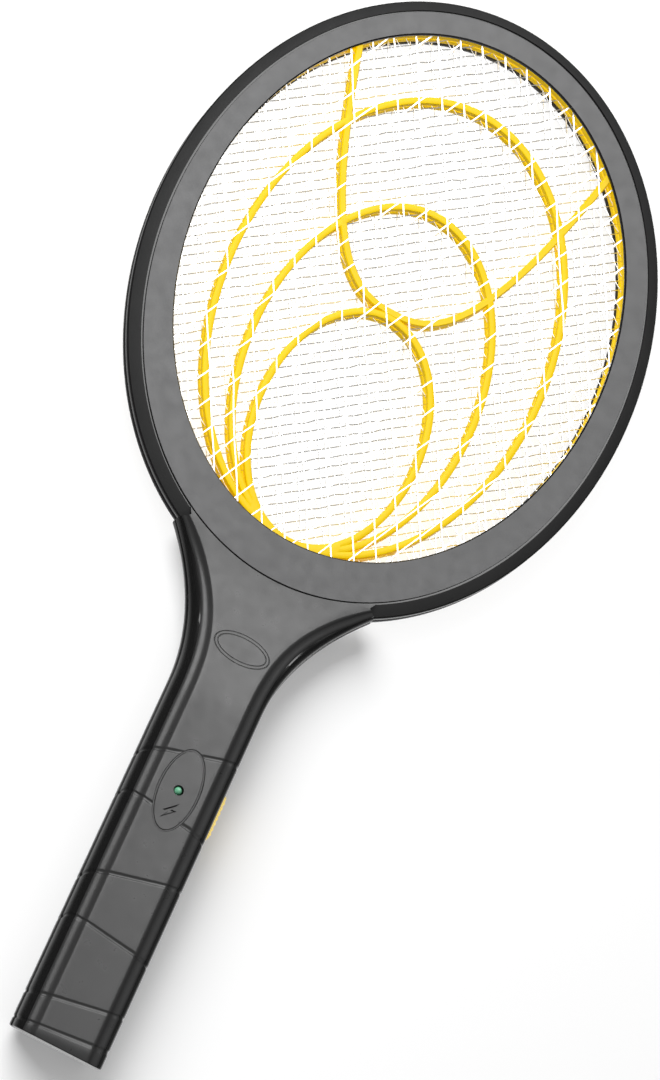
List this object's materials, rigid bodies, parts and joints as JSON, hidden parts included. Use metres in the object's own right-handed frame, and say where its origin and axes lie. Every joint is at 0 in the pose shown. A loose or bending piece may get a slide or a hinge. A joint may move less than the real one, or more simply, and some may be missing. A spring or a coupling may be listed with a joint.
{
  "type": "electric fly swatter",
  "caption": "Racket-shaped electric insect swatter: oval framed head with stacked wire grids and an insulating rib frame, on a straight handle with a side push button and an indicator light.",
  "frame": {"origin": "under the middle of the racket's outline, at the level of the handle's back face", "axes": "+Y along the handle from the butt end to the head's tip, +Z out of the front face, +X towards the side with the push button"},
  "size_m": [0.2032, 0.456, 0.0264],
  "materials": {
    "frame_plastic": "satin grey-black moulded ABS",
    "handle_plastic": "semi-gloss black moulded ABS",
    "spacer_plastic": "bright yellow moulded ABS",
    "grid_metal": "bare expanded metal",
    "tinned_copper": "tinned strip",
    "screw_steel": "zinc plated",
    "black_plastic": "moulded",
    "led_lens": "clear green epoxy",
    "board": "solder mask",
    "ferrite": "sintered ferrite",
    "winding": "enamelled copper wire",
    "capacitor_coat": "dipped resin",
    "cell_jacket": "plain coloured sleeve",
    "contact_steel": "nickel plated spring steel",
    "red_insulation": "PVC insulation",
    "black_insulation": "PVC insulation"
  },
  "bodies": {
    "racket": {"front_frame": "frame_plastic", "rear_frame": "frame_plastic", "front_spacer": "spacer_plastic", "rear_spacer": "spacer_plastic", "front_grid": "grid_metal", "rear_grid": "grid_metal", "centre_grid": "grid_metal", "front_grid_tab": "tinned_copper", "centre_grid_tab": "tinned_copper", "rear_grid_tab": "tinned_copper", "front_handle_shell": "handle_plastic", "rear_handle_shell": "handle_plastic", "casing_screw_1": "screw_steel", "casing_screw_2": "screw_steel", "casing_screw_3": "screw_steel", "casing_screw_4": "screw_steel", "switch_body": "black_plastic", "indicator_led": "led_lens", "circuit_board": "board", "transformer_core": "ferrite", "transformer_coil": "winding", "storage_capacitor": "capacitor_coat", "transistor": "black_plastic", "rectifier_diode_1": "black_plastic", "rectifier_diode_2": "black_plastic", "rectifier_diode_3": "black_plastic", "resistor_1": "capacitor_coat", "resistor_2": "capacitor_coat", "battery_1": "cell_jacket", "battery_2": "cell_jacket", "plus_contact": "contact_steel", "minus_contact": "contact_steel", "bridge_contact": "contact_steel", "minus_spring": "contact_steel", "bridge_spring": "contact_steel", "plus_battery_wire": "red_insulation", "minus_battery_wire": "black_insulation", "outer_grid_wire": "black_insulation", "centre_grid_wire": "red_insulation"},
    "power_button": {"power_button": "spacer_plastic"},
    "switch_plunger": {"switch_plunger": "black_plastic"},
    "battery_cover": {"battery_cover": "handle_plastic"}
  },
  "joints": [
    {"name": "button_press", "type": "slide", "parent": "racket", "child": "power_button", "axis": [-1, 0, 0], "range_m": [0, 0.0012], "stiffness_N_per_m": 600, "springref_m": -0.001},
    {"name": "switch_press", "type": "slide", "parent": "racket", "child": "switch_plunger", "axis": [-1, 0, 0], "range_m": [0, 0.0012]},
    {"name": "cover_slide", "type": "slide", "parent": "racket", "child": "battery_cover", "axis": [0, -1, 0], "range_m": [0, 0.064]}
  ],
  "couplings": [
    {"joint": "switch_press", "follows": "button_press", "ratio": 1}
  ]
}
